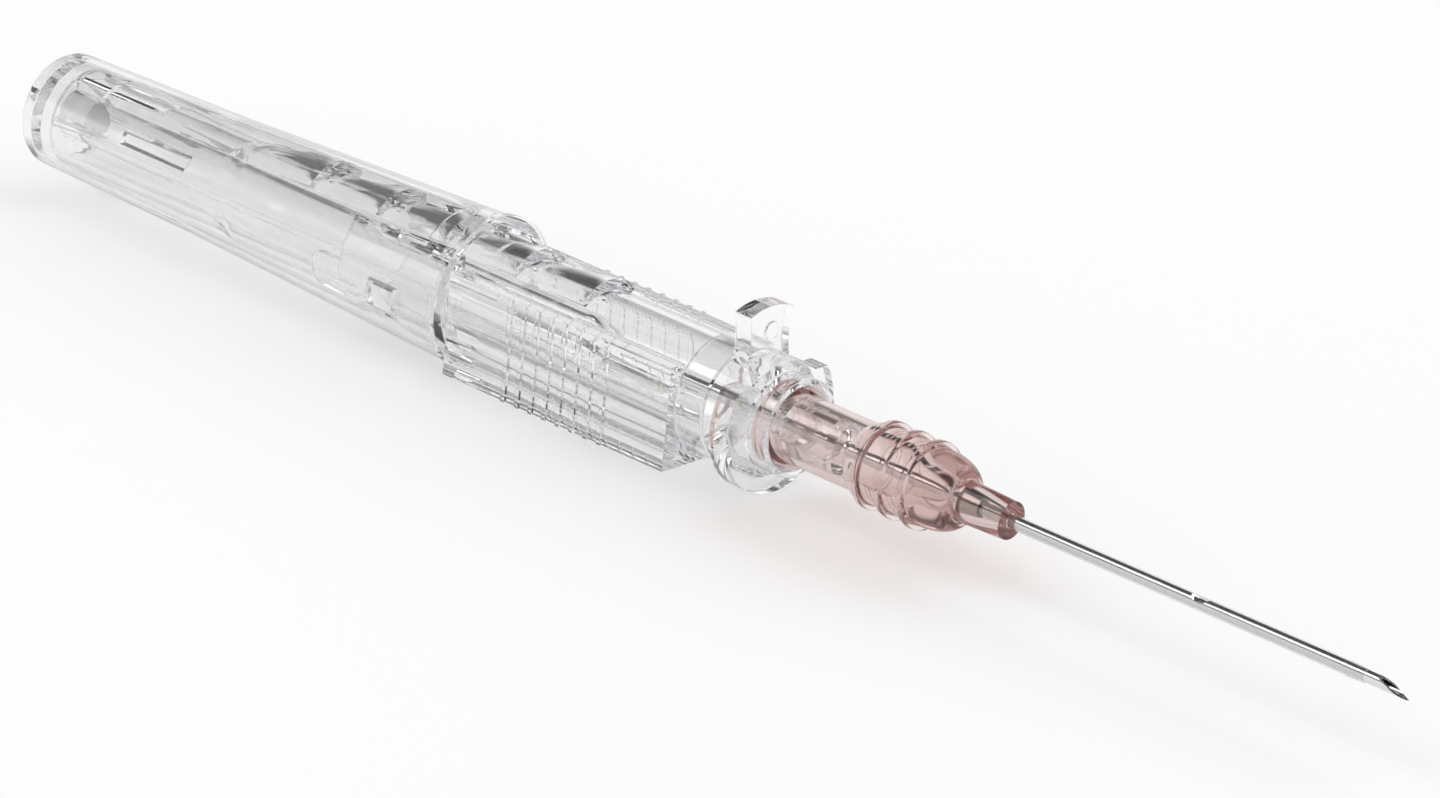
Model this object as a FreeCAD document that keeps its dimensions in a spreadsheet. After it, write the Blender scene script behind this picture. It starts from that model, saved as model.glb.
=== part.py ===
import FreeCAD, Part
import math
import os
import Sketcher

# A safety intravenous cannula lies along X, with its needle tip at the far +X end.
# Stations along the axis are measured from the closed rear end of the barrel.
# The finished pieces stand on Z = 0, with X = 0 at the middle of the whole length.

doc = FreeCAD.newDocument("iv_cannula")
sheet = doc.addObject("Spreadsheet::Sheet", "dims")
sheet.Label = "dims"


class Size:
    """A size that carries its number and the sheet formula that gives it."""

    def __init__(self, formula, number):
        self.formula = formula
        self.number = number

    def join(self, other, sign, number):
        return Size("(" + self.formula + " " + sign + " " + other.formula + ")", number)

    def __add__(self, other):
        other = as_size(other)
        return self.join(other, "+", self.number + other.number)

    def __sub__(self, other):
        other = as_size(other)
        return self.join(other, "-", self.number - other.number)

    def __mul__(self, other):
        other = as_size(other)
        return self.join(other, "*", self.number * other.number)

    def __truediv__(self, other):
        other = as_size(other)
        return self.join(other, "/", self.number / other.number)

    def __neg__(self):
        return Size("(0 - " + self.formula + ")", -self.number)


def as_size(value):
    """Take a plain number as a size of its own."""
    if isinstance(value, Size):
        return value
    return Size(repr(float(value)), float(value))


def sine(angle):
    """Sine of an angle that is held in degrees."""
    return Size("sin(" + angle.formula + " * 1 deg)", math.sin(math.radians(angle.number)))


ROUND_EDGE_SHARE = 1 - math.cos(math.radians(45))
CURVE_STEPS = 3

used_rows = []


def cell(alias, number, note):
    """Write one driving dimension into the sheet and return it as a size."""
    used_rows.append(alias)
    row = str(len(used_rows))
    sheet.set("A" + row, note)
    sheet.set("B" + row, str(number))
    sheet.setAlias("B" + row, alias)
    return Size("dims." + alias, float(number))


# Barrel, the clear outer shell that closes the rear end
barrel_length = cell("barrel_length", 47.5, "rear end to front rim")
barrel_waist_station = cell("barrel_waist_station", 18.0, "where the barrel starts to flare")
barrel_gap = cell("barrel_gap", 0.22, "guard to the bore of the barrel behind the flare")
barrel_front_gap = cell("barrel_front_gap", 1.27, "guard to the bore of the barrel at its rim")
barrel_wall = cell("barrel_wall", 0.58, "shell thickness")
barrel_floor = cell("barrel_floor", 1.0, "thickness of the closed rear end")
barrel_vent_radius = cell("barrel_vent_radius", 0.35, "air hole in the rear end")
barrel_rounding = cell("barrel_rounding", 0.55, "rounded edge of the rear end")
rim_width = cell("rim_width", 0.8, "length of the front bead")
rim_height = cell("rim_height", 0.15, "bead above the barrel")
channel_start = cell("channel_start", 7.3, "rear end to the channel inside the top")
channel_setback = cell("channel_setback", 3.4, "front rim to the channel")
channel_depth = cell("channel_depth", 0.3, "channel above the bore")
channel_sweep = cell("channel_sweep", 82.0, "width of the channel as an angle, degrees")

# Needle guard, the inner tube that slides forward over the needle
guard_radius = cell("guard_radius", 4.15, "outside of the sliding tube")
guard_tail_step = cell("guard_tail_step", 0.35, "rear stretch below the full width")
guard_wall = cell("guard_wall", 0.6, "tube wall")
guard_start = cell("guard_start", 3.0, "rear end of barrel to rear of tube")
guard_cone_length = cell("guard_cone_length", 2.4, "tail to full width")
running_clearance = cell("running_clearance", 0.1, "between sliding faces")
tooth_count = cell("tooth_count", 5, "steps along the top of the tube")
tooth_pitch = cell("tooth_pitch", 7.15, "step to step")
tooth_clearance = cell("tooth_clearance", 0.08, "top of a step to the channel")
tooth_tuck = cell("tooth_tuck", 0.5, "tube radius less the radius of a step's arch")
tooth_sink = cell("tooth_sink", 0.06, "tube down to the rear edge of a step")
tooth_sweep = cell("tooth_sweep", 100.0, "arch of a step as an angle, degrees")
first_tooth_station = cell("first_tooth_station", 30.5, "rear end to the first step face")
eye_length = cell("eye_length", 0.55, "slot in front of each step")
eye_half_width = cell("eye_half_width", 0.95, "slot in front of each step")
eye_setback = cell("eye_setback", 0.35, "step face to its slot")
lock_window_start = cell("lock_window_start", 3.6, "rear end to the lock window")
lock_window_length = cell("lock_window_length", 9.0, "lock window in the tube top")
lock_window_half_width = cell("lock_window_half_width", 1.1, "lock window in the tube top")
side_slot_start = cell("side_slot_start", 10.7, "rear end to the side slots")
side_slot_length = cell("side_slot_length", 7.2, "side slots")
side_slot_half_height = cell("side_slot_half_height", 0.42, "side slots")
side_slot_rise = cell("side_slot_rise", 1.5, "axis up to the middle of the side slots")

# Grip housing, the front half of the holder
grip_reach = cell("grip_reach", 22.8, "front rim of barrel to front of grips")
sleeve_insert = cell("sleeve_insert", 11.0, "length of sleeve held in the barrel")
sleeve_wall = cell("sleeve_wall", 0.65, "sleeve wall at its rear edge")
sleeve_clearance = cell("sleeve_clearance", 0.08, "sleeve inside the barrel")
sleeve_front_wall = cell("sleeve_front_wall", 1.05, "sleeve wall between the grips")
slot_clearance = cell("slot_clearance", 0.7, "edge of the top slot to the steps")
slot_floor = cell("slot_floor", 1.9, "height where the top slot ends")
pocket_start = cell("pocket_start", 4.6, "barrel rim to the wide pocket")
pocket_length = cell("pocket_length", 7.2, "wide pocket between the grips")
pocket_floor = cell("pocket_floor", 1.1, "height where the wide pocket ends")
grip_side_wall = cell("grip_side_wall", 0.73, "bore to the outer face of a grip")
grip_thickness = cell("grip_thickness", 1.2, "grip plate")
grip_top = cell("grip_top", 3.0, "axis up to the top edge of a grip")
grip_bottom_wall = cell("grip_bottom_wall", 0.85, "bore to the underside of the grips")
grip_floor = cell("grip_floor", 0.6, "web that joins the grips below")
grip_setback = cell("grip_setback", 0.25, "barrel rim to the rear of the grips")
ridge_count = cell("ridge_count", 8, "ridges on each grip")
ridge_pitch = cell("ridge_pitch", 1.4, "ridge to ridge")
ridge_width = cell("ridge_width", 0.4, "one ridge")
ridge_height = cell("ridge_height", 0.22, "ridge above the grip")
ridge_start = cell("ridge_start", 6.5, "barrel rim to the first ridge")
tongue_length = cell("tongue_length", 3.2, "snap tongue behind the sleeve")
tongue_sweep = cell("tongue_sweep", 34.0, "tongue width as an angle, degrees")
tongue_turn = cell("tongue_turn", 105.0, "tongue angle from the top, degrees")
tongue_corner = cell("tongue_corner", 0.9, "rounded corners of a tongue")
tongue_clearance = cell("tongue_clearance", 0.1, "step from the sleeve down to a tongue")
snap_start = cell("snap_start", 3.1, "sleeve rear edge to the snap window")
snap_length = cell("snap_length", 2.9, "snap window")
snap_half_height = cell("snap_half_height", 1.0, "snap window")
snap_drop = cell("snap_drop", 1.1, "snap window below the axis")
snap_clearance = cell("snap_clearance", 0.15, "snap lug inside its window")
lug_reach = cell("lug_reach", 0.42, "snap lug below the bore of the barrel")
feature_root = cell("feature_root", 0.15, "raised features start this deep in their carrier")

# Guard nose, with the flange and the push tab
stop_gap = cell("stop_gap", 0.15, "grip front to the nose at rest")
boss_wall = cell("boss_wall", 0.43, "round body over the tube's end")
boss_length = cell("boss_length", 4.6, "round body of the nose")
seat_depth = cell("seat_depth", 2.5, "tube end held in the nose")
seat_clearance = cell("seat_clearance", 0.02, "tube end in the nose")
flange_rim = cell("flange_rim", 1.05, "flange beyond the round body")
flange_thickness = cell("flange_thickness", 1.7, "round flange")
flange_flat_drop = cell("flange_flat_drop", 1.4, "round body down to the flange's flat top")
tab_thickness = cell("tab_thickness", 1.6, "push tab behind the flange")
tab_root = cell("tab_root", 0.7, "foot of the push tab inside the round body")
tab_half_width = cell("tab_half_width", 2.3, "push tab at its foot and its top")
tab_hollow = cell("tab_hollow", 0.28, "hollow in each side of the push tab")
tab_rise = cell("tab_rise", 3.2, "round body up to the corners of the tab")
tab_crown = cell("tab_crown", 0.5, "rise of the tab's arched top")
button_radius = cell("button_radius", 0.7, "round mark on the tab")
button_height = cell("button_height", 0.2, "round mark on the tab")
button_rise = cell("button_rise", 1.8, "round body up to the round mark")
cup_gap = cell("cup_gap", 0.15, "rim of the hub to the ring round it")
cup_wall = cell("cup_wall", 0.45, "ring round the root of the hub")
cup_length = cell("cup_length", 1.9, "ring round the root of the hub")
luer_radius = cell("luer_radius", 2.15, "male cone where the hub starts")
luer_taper = cell("luer_taper", 0.03, "fall of the cone's radius per length")
luer_length = cell("luer_length", 7.0, "male cone")
luer_wall = cell("luer_wall", 0.6, "male cone")
needle_gap = cell("needle_gap", 0.15, "needle to the hole in the guard's nose")

# Catheter hub, with its luer socket, ribs and nose
hub_gap = cell("hub_gap", 0.3, "flange to the mouth of the hub")
hub_length = cell("hub_length", 21.9, "mouth to the end of the nose")
hub_wall = cell("hub_wall", 0.42, "hub wall at the mouth of the socket")
hub_base_step = cell("hub_base_step", 0.53, "rim at the mouth above the body")
hub_base_length = cell("hub_base_length", 1.5, "rim at the mouth")
hub_base_taper = cell("hub_base_taper", 0.5, "slope from the rim to the body")
hub_base_rounding = cell("hub_base_rounding", 0.25, "rounded edge of the mouth")
hub_swell_step = cell("hub_swell_step", 0.33, "thicker stretch above the body")
hub_swell_start = cell("hub_swell_start", 8.3, "mouth to the thicker stretch")
hub_swell_length = cell("hub_swell_length", 0.6, "slope up to the thicker stretch")
hub_rib_start = cell("hub_rib_start", 9.6, "mouth to the first rib")
hub_rib_count = cell("hub_rib_count", 3, "ribs")
hub_rib_pitch = cell("hub_rib_pitch", 2.15, "rib to rib")
hub_rib_width = cell("hub_rib_width", 0.5, "rib")
hub_rib_rise = cell("hub_rib_rise", 0.4, "rib above the thicker stretch")
dome_length = cell("dome_length", 3.0, "shoulder from body to nose")
dome_end_step = cell("dome_end_step", 0.65, "end of the dome above the nose")
dome_end_length = cell("dome_end_length", 0.5, "short slope from the dome to the nose")
nose_length = cell("nose_length", 4.1, "nose")
nose_root_wall = cell("nose_root_wall", 0.75, "nose over the catheter, at its root")
nose_waist_wall = cell("nose_waist_wall", 0.6, "nose over the catheter, behind its rim")
nose_rim_rise = cell("nose_rim_rise", 0.27, "flared rim above the nose")
nose_rim_length = cell("nose_rim_length", 0.5, "flared rim of the nose")
socket_clearance = cell("socket_clearance", 0.05, "socket over the male cone")
socket_length = cell("socket_length", 9.2, "depth of the luer socket")
chamber_step = cell("chamber_step", 0.17, "ledge at the floor of the socket")
chamber_length = cell("chamber_length", 4.2, "clear chamber past the socket")

# Catheter tube and the metal sleeve that wedges it into the nose
tube_reach = cell("tube_reach", 32.0, "nose end to catheter tip")
tube_wall = cell("tube_wall", 0.08, "wall of the catheter")
tube_bore_clearance = cell("tube_bore_clearance", 0.02, "catheter over the needle")
tube_taper_length = cell("tube_taper_length", 1.6, "tapered catheter tip")
tube_tip_wall = cell("tube_tip_wall", 0.03, "wall at the very tip")
ferrule_length = cell("ferrule_length", 3.6, "metal sleeve")
ferrule_inset = cell("ferrule_inset", 0.6, "nose end to the metal sleeve")
ferrule_wall = cell("ferrule_wall", 0.12, "metal sleeve")
ferrule_gap = cell("ferrule_gap", 0.05, "metal sleeve to the root of the catheter")
ferrule_flare = cell("ferrule_flare", 0.43, "rear of the metal sleeve above the catheter")
press_clearance = cell("press_clearance", 0.01, "between pressed faces")

# Needle
needle_radius = cell("needle_radius", 0.45, "outside of the needle")
needle_bore_radius = cell("needle_bore_radius", 0.3, "bore of the needle")
needle_root_depth = cell("needle_root_depth", 5.5, "needle held in its hub")
bevel_length = cell("bevel_length", 2.9, "ground point")
bevel_gap = cell("bevel_gap", 0.8, "catheter tip to the heel of the point")
notch_station = cell("notch_station", 17.3, "nose end to the flashback notch")
notch_length = cell("notch_length", 1.5, "flashback notch")
notch_depth = cell("notch_depth", 0.27, "flashback notch")

# Needle hub, the flash chamber that stands on the barrel's rear end
flange_fit = cell("flange_fit", 0.05, "flange inside the barrel")
hub_flange_thickness = cell("hub_flange_thickness", 1.1, "flange of the needle hub")
flash_radius = cell("flash_radius", 1.9, "outside of the flash chamber")
flash_wall = cell("flash_wall", 0.5, "flash chamber")
flash_end_setback = cell("flash_end_setback", 12.3, "grip front to the end of the chamber")
neck_wall = cell("neck_wall", 0.55, "neck that holds the needle")
neck_cone_length = cell("neck_cone_length", 3.0, "chamber to neck")
neck_length = cell("neck_length", 5.0, "neck that holds the needle")
neck_floor = cell("neck_floor", 0.5, "end wall of the flash chamber")
gusset_gap = cell("gusset_gap", 0.4, "top of a gusset to the bore of the guard")
gusset_length = cell("gusset_length", 5.5, "gusset along the chamber")
gusset_thickness = cell("gusset_thickness", 0.5, "gusset")
gusset_count = cell("gusset_count", 4, "gussets round the chamber")
vent_length = cell("vent_length", 3.5, "porous vent plug")
vent_setback = cell("vent_setback", 0.2, "rear of the chamber to the vent plug")

doc.recompute()

# Stations along the axis, worked out from the sizes above
grip_front = barrel_length + grip_reach
sleeve_rear = barrel_length - sleeve_insert
grip_rear = barrel_length + grip_setback
boss_rear = grip_front + stop_gap
flange_rear = boss_rear + boss_length
flange_front = flange_rear + flange_thickness
hub_mouth = flange_front + hub_gap
hub_end = hub_mouth + hub_length
tube_end = hub_end + tube_reach
needle_heel = tube_end + bevel_gap
needle_tip = needle_heel + bevel_length
channel_end = barrel_length - channel_setback

# Radii and heights of what fits together, worked out from the same sizes
guard_tail_radius = guard_radius - guard_tail_step
guard_bore = guard_radius - guard_wall
guard_tail_bore = guard_tail_radius - guard_wall
sleeve_bore = guard_radius + running_clearance
barrel_rear_radius = guard_tail_radius + barrel_gap + barrel_wall
barrel_waist_radius = guard_radius + barrel_gap + barrel_wall
barrel_front_radius = guard_radius + barrel_front_gap + barrel_wall
rim_radius = barrel_front_radius + rim_height
flare = (barrel_front_radius - barrel_waist_radius) / (barrel_length - barrel_waist_station)
sleeve_front_radius = sleeve_bore + sleeve_front_wall
grip_half_width = sleeve_bore + grip_side_wall
grip_bottom = sleeve_bore + grip_bottom_wall
boss_radius = guard_radius + seat_clearance + boss_wall
flange_radius = boss_radius + flange_rim
tab_shoulder = boss_radius + tab_rise
needle_passage = needle_radius + needle_gap
tube_bore = needle_radius + tube_bore_clearance
tube_radius = tube_bore + tube_wall
hub_body_radius = luer_radius + socket_clearance + hub_wall
hub_base_radius = hub_body_radius + hub_base_step
hub_swell_radius = hub_body_radius + hub_swell_step
cup_bore = hub_base_radius + cup_gap
cup_radius = cup_bore + cup_wall
nose_radius = tube_radius + nose_root_wall
ferrule_radius = tube_radius + ferrule_flare


def barrel_bore(station):
    """Inner radius of the barrel at a station in front of its waist."""
    return barrel_waist_radius - barrel_wall + flare * (station - barrel_waist_station)


tooth_radius = guard_radius - tooth_tuck
tooth_crown = barrel_bore(first_tooth_station) + channel_depth - tooth_clearance
tooth_lift = tooth_crown - tooth_radius
slot_half_width = tooth_radius * sine(tooth_sweep / 2) + slot_clearance


def new_body(name):
    """Start a sub-part, standing it on Z = 0 with the whole length centred on X = 0."""
    body = doc.addObject("PartDesign::Body", name)
    body.Label = name
    body.setExpression(".Placement.Base.x", (-needle_tip / 2).formula)
    body.setExpression(".Placement.Base.z", rim_radius.formula)
    return body


def origin_plane(body, role):
    for feature in body.Origin.OriginFeatures:
        if feature.Role == role:
            return feature
    raise ValueError("no plane " + role)


def new_sketch(body, name, role, offset=None):
    """Add a sketch on an origin plane, moved along the plane's normal by offset."""
    sketch = body.newObject("Sketcher::SketchObject", name)
    sketch.AttachmentSupport = [(origin_plane(body, role), "")]
    sketch.MapMode = "FlatFace"
    if offset is not None:
        sketch.setExpression(".AttachmentOffset.Base.z", offset.formula)
    return sketch


def pin(sketch, geometry, vertex, along, size):
    """Hold one coordinate of a vertex to a size."""
    size = as_size(size)
    constraint = Sketcher.Constraint("Distance" + along, -1, 1, geometry, vertex, size.number)
    index = sketch.addConstraint(constraint)
    sketch.setExpression("Constraints[" + str(index) + "]", size.formula)


def add_outline(sketch, points):
    """Draw a closed outline whose corners are held to the given sizes."""
    corners = []
    for across, up in points:
        corners.append(FreeCAD.Vector(as_size(across).number, as_size(up).number, 0))
    first = sketch.GeometryCount
    count = len(corners)
    for index in range(count):
        line = Part.LineSegment(corners[index], corners[(index + 1) % count])
        sketch.addGeometry(line, False)
    for index in range(count):
        this = first + index
        following = first + (index + 1) % count
        sketch.addConstraint(Sketcher.Constraint("Coincident", this, 2, following, 1))
    for index, (across, up) in enumerate(points):
        pin(sketch, first + index, 1, "X", across)
        pin(sketch, first + index, 1, "Y", up)


def add_rectangle(sketch, left, right, low, high):
    add_outline(sketch, [(left, low), (right, low), (right, high), (left, high)])


def add_circle(sketch, across, up, radius):
    centre = FreeCAD.Vector(as_size(across).number, as_size(up).number, 0)
    normal = FreeCAD.Vector(0, 0, 1)
    index = sketch.addGeometry(Part.Circle(centre, normal, radius.number), False)
    pin(sketch, index, 3, "X", across)
    pin(sketch, index, 3, "Y", up)
    held = sketch.addConstraint(Sketcher.Constraint("Radius", index, radius.number))
    sketch.setExpression("Constraints[" + str(held) + "]", radius.formula)


def turn(body, name, points):
    """Turn an outline of (station, radius) corners round the axis."""
    sketch = new_sketch(body, name + "_profile", "XZ_Plane")
    add_outline(sketch, points)
    feature = body.newObject("PartDesign::Revolution", name)
    feature.Profile = sketch
    feature.ReferenceAxis = (sketch, ["H_Axis"])
    feature.Angle = 360
    return feature


def turn_sector(body, name, points, sweep, tilt=None, lift=None, kind="Revolution"):
    """Turn an outline through a sector only, half of it to each side of the top.

    tilt turns the middle of the sector away from the top, and lift raises the axis.
    """
    sketch = new_sketch(body, name + "_profile", "XZ_Plane")
    if tilt is not None:
        turned = FreeCAD.Rotation(FreeCAD.Vector(1, 0, 0), tilt.number)
        sketch.AttachmentOffset = FreeCAD.Placement(FreeCAD.Vector(0, 0, 0), turned)
        sketch.setExpression(".AttachmentOffset.Rotation.Angle", tilt.formula)
    if lift is not None:
        sketch.setExpression(".AttachmentOffset.Base.y", lift.formula)
    add_outline(sketch, points)
    feature = body.newObject("PartDesign::" + kind, name)
    feature.Profile = sketch
    feature.ReferenceAxis = (sketch, ["H_Axis"])
    feature.setExpression("Angle", sweep.formula)
    feature.Midplane = True
    return feature


def raise_block(body, name, sketch, length, both_sides=False):
    """Pad a sketch along its plane's normal."""
    feature = body.newObject("PartDesign::Pad", name)
    feature.Profile = sketch
    feature.setExpression("Length", length.formula)
    feature.Midplane = both_sides
    return feature


def cut_block(body, name, sketch, length, both_sides=False):
    """Cut a sketch's outline along its plane's normal, and check that it took material."""
    doc.recompute()
    before = body.Shape.Volume
    feature = body.newObject("PartDesign::Pocket", name)
    feature.Profile = sketch
    feature.setExpression("Length", length.formula)
    feature.Midplane = both_sides
    feature.Reversed = not both_sides
    doc.recompute()
    if feature.Shape.Volume >= before:
        raise ValueError(name + " cuts nothing")
    return feature


def repeat_along(body, name, feature, count, pitch):
    """Repeat a feature along the axis."""
    pattern = body.newObject("PartDesign::LinearPattern", name)
    pattern.Originals = [feature]
    pattern.Direction = (feature.Profile[0], ["H_Axis"])
    pattern.setExpression("Occurrences", count.formula)
    pattern.setExpression("Length", ((count - 1) * pitch).formula)
    body.Tip = pattern
    return pattern


def mirror_sides(body, name, features):
    """Repeat features on the other side of the middle plane."""
    mirrored = body.newObject("PartDesign::Mirrored", name)
    mirrored.Originals = features
    mirrored.MirrorPlane = (origin_plane(body, "XZ_Plane"), [""])
    body.Tip = mirrored
    return mirrored


def rear_corner(station, radius, size):
    """Corners of a rounded edge that starts on a rear face and ends on the side."""
    middle = size * ROUND_EDGE_SHARE
    return [
        (station, radius - size),
        (station + middle, radius - middle),
        (station + size, radius),
    ]


def quarter_curve(start, start_radius, end, end_radius):
    """Points of a quarter ellipse that leaves along the axis and turns inwards."""
    points = []
    for step in range(CURVE_STEPS + 1):
        turned = math.radians(90 * step / CURVE_STEPS)
        station = start + (end - start) * math.sin(turned)
        radius = end_radius + (start_radius - end_radius) * math.cos(turned)
        points.append((station, radius))
    return points


def round_edges(body, name, feature, names, radius):
    """Round off named edges of a feature."""
    fillet = body.newObject("PartDesign::Fillet", name)
    fillet.Base = (feature, names)
    fillet.setExpression("Radius", radius.formula)
    doc.recompute()
    return fillet


def corners_at(feature, station):
    """Names of the short straight edges that lie across the wall at a station."""
    doc.recompute()
    names = []
    for index, edge in enumerate(feature.Shape.Edges, start=1):
        box = edge.BoundBox
        flat = box.XLength < 0.001 and abs(box.XMin - station.number) < 0.01
        if flat and edge.Curve.TypeId == "Part::GeomLine":
            names.append("Edge" + str(index))
    if not names:
        raise ValueError("no corner at " + str(station.number))
    return names


def make_rear_barrel():
    """Closed, flared shell with a front bead, a channel inside its top and two snap lugs."""
    body = new_body("rear_barrel")
    bore_rear = barrel_rear_radius - barrel_wall
    bore_waist = barrel_waist_radius - barrel_wall
    bore_front = barrel_bore(barrel_length)
    rim_start = barrel_length - rim_width
    outline = [(0, barrel_vent_radius)]
    outline.extend(rear_corner(as_size(0), barrel_rear_radius, barrel_rounding))
    outline.extend([
        (barrel_waist_station, barrel_waist_radius),
        (rim_start, barrel_front_radius),
        (rim_start, rim_radius),
        (barrel_length, rim_radius),
        (barrel_length, bore_front),
        (barrel_waist_station, bore_waist),
        (barrel_floor, bore_rear),
        (barrel_floor, barrel_vent_radius),
    ])
    turn(body, "barrel_shell", outline)
    start_bore = bore_rear + (bore_waist - bore_rear) * channel_start / barrel_waist_station
    end_bore = barrel_bore(channel_end)
    doc.recompute()
    before = body.Shape.Volume
    turn_sector(body, "top_channel", [
        (channel_start, start_bore - feature_root),
        (channel_end, start_bore - feature_root),
        (channel_end, end_bore + channel_depth),
        (barrel_waist_station, bore_waist + channel_depth),
        (channel_start, start_bore + channel_depth),
    ], channel_sweep, kind="Groove")
    doc.recompute()
    if body.Shape.Volume >= before:
        raise ValueError("top_channel cuts nothing")
    lug_start = sleeve_rear + snap_start + snap_clearance
    lug_end = sleeve_rear + snap_start + snap_length - snap_clearance
    lug_bore = barrel_bore(lug_start)
    lug_sketch = new_sketch(body, "lug_profile", "XZ_Plane", lug_bore - lug_reach)
    half_height = snap_half_height - snap_clearance
    add_rectangle(lug_sketch, lug_start, lug_end, -snap_drop - half_height, -snap_drop + half_height)
    lug = raise_block(body, "snap_lug", lug_sketch, lug_reach + barrel_wall / 2)
    mirror_sides(body, "snap_lugs", [lug])
    return body


def make_grip_housing():
    """Slotted sleeve that snaps into the barrel and carries two ribbed grip plates."""
    body = new_body("grip_housing")
    rear_outer = barrel_bore(sleeve_rear) - sleeve_clearance
    rim_outer = barrel_bore(barrel_length) - sleeve_clearance
    turn(body, "sleeve", [
        (sleeve_rear, sleeve_bore),
        (sleeve_rear, rear_outer),
        (barrel_length, rim_outer),
        (barrel_length, sleeve_front_radius),
        (grip_front, sleeve_front_radius),
        (grip_front, sleeve_bore),
    ])
    inner_half = grip_half_width - grip_thickness
    plate_length = grip_front - grip_rear
    grips = new_sketch(body, "grip_section", "YZ_Plane", grip_rear)
    add_outline(grips, [
        (-grip_half_width, grip_top),
        (-grip_half_width, -grip_bottom),
        (grip_half_width, -grip_bottom),
        (grip_half_width, grip_top),
        (inner_half, grip_top),
        (inner_half, grip_floor - grip_bottom),
        (-inner_half, grip_floor - grip_bottom),
        (-inner_half, grip_top),
    ])
    raise_block(body, "grips", grips, plate_length)
    sides = new_sketch(body, "side_trim", "YZ_Plane", grip_rear)
    far_out = sleeve_front_radius * 2
    add_rectangle(sides, -far_out, far_out, -far_out, far_out)
    add_rectangle(sides, -grip_half_width, grip_half_width, -grip_bottom, grip_top)
    cut_block(body, "grip_faces", sides, plate_length)
    bore = new_sketch(body, "bore_section", "YZ_Plane", sleeve_rear)
    add_circle(bore, 0, 0, sleeve_bore)
    cut_block(body, "guard_bore", bore, grip_front - sleeve_rear)
    slot = new_sketch(body, "slot_section", "XY_Plane", slot_floor)
    add_rectangle(slot, sleeve_rear, grip_front, -slot_half_width, slot_half_width)
    cut_block(body, "top_slot", slot, sleeve_front_radius)
    pocket_rear = barrel_length + pocket_start
    pocket = new_sketch(body, "pocket_section", "XY_Plane", pocket_floor)
    add_rectangle(pocket, pocket_rear, pocket_rear + pocket_length, -inner_half, inner_half)
    cut_block(body, "wide_pocket", pocket, sleeve_front_radius)
    window = new_sketch(body, "snap_window_section", "XZ_Plane")
    window_rear = sleeve_rear + snap_start
    add_rectangle(
        window, window_rear, window_rear + snap_length,
        -snap_drop - snap_half_height, -snap_drop + snap_half_height)
    cut_block(body, "snap_windows", window, far_out, both_sides=True)
    tongue_bore = rear_outer - sleeve_wall
    tongue_tip = sleeve_rear - tongue_length
    tongue_top = rear_outer - tongue_clearance
    tongue = turn_sector(body, "tongue", [
        (tongue_tip, tongue_bore),
        (sleeve_rear + feature_root, tongue_bore),
        (sleeve_rear + feature_root, tongue_top),
        (tongue_tip, tongue_top - flare * tongue_length),
    ], tongue_sweep, tilt=tongue_turn)
    both = mirror_sides(body, "tongues", [tongue])
    round_edges(body, "tongue_corners", both, corners_at(both, tongue_tip), tongue_corner)
    ridge_sketch = new_sketch(body, "ridge_section", "XY_Plane", -grip_bottom)
    first = barrel_length + ridge_start
    outer = grip_half_width + ridge_height
    root = grip_half_width - feature_root
    add_rectangle(ridge_sketch, first, first + ridge_width, -outer, -root)
    add_rectangle(ridge_sketch, first, first + ridge_width, root, outer)
    ridge = raise_block(body, "ridge", ridge_sketch, grip_bottom + grip_top)
    repeat_along(body, "ridges", ridge, ridge_count, ridge_pitch)
    return body


def make_needle_hub():
    """Flash chamber on a flange, with four gussets and a neck that holds the needle."""
    body = new_body("needle_hub")
    flange_edge = barrel_rear_radius - barrel_wall - flange_fit
    neck_radius = needle_radius + neck_wall
    flange_end = barrel_floor + hub_flange_thickness
    chamber_end = grip_front - flash_end_setback
    neck_start = chamber_end + neck_cone_length
    neck_end = neck_start + neck_length
    chamber_bore = flash_radius - flash_wall
    needle_seat = needle_radius + press_clearance
    turn(body, "chamber", [
        (barrel_floor, chamber_bore),
        (barrel_floor, flange_edge),
        (flange_end, flange_edge),
        (flange_end, flash_radius),
        (chamber_end, flash_radius),
        (neck_start, neck_radius),
        (neck_end, neck_radius),
        (neck_end, needle_seat),
        (neck_start - neck_floor, needle_seat),
        (chamber_end - neck_floor, chamber_bore),
    ])
    gusset_sketch = new_sketch(body, "gusset_profile", "XZ_Plane")
    gusset_root = flash_radius - flash_wall / 2
    add_outline(gusset_sketch, [
        (flange_end - feature_root, gusset_root),
        (flange_end - feature_root, guard_tail_bore - gusset_gap),
        (flange_end + gusset_length, gusset_root),
    ])
    gusset = raise_block(body, "gusset", gusset_sketch, gusset_thickness, both_sides=True)
    ring = body.newObject("PartDesign::PolarPattern", "gussets")
    ring.Originals = [gusset]
    ring.Axis = (gusset_sketch, ["H_Axis"])
    ring.Angle = 360
    ring.setExpression("Occurrences", gusset_count.formula)
    body.Tip = ring
    return body


def make_vent_plug():
    """Porous plug that lets air out of the flash chamber."""
    body = new_body("vent_plug")
    radius = flash_radius - flash_wall - press_clearance
    rear = barrel_floor + vent_setback
    turn(body, "plug", [
        (rear, 0),
        (rear, radius),
        (rear + vent_length, radius),
        (rear + vent_length, 0),
    ])
    return body


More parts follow.
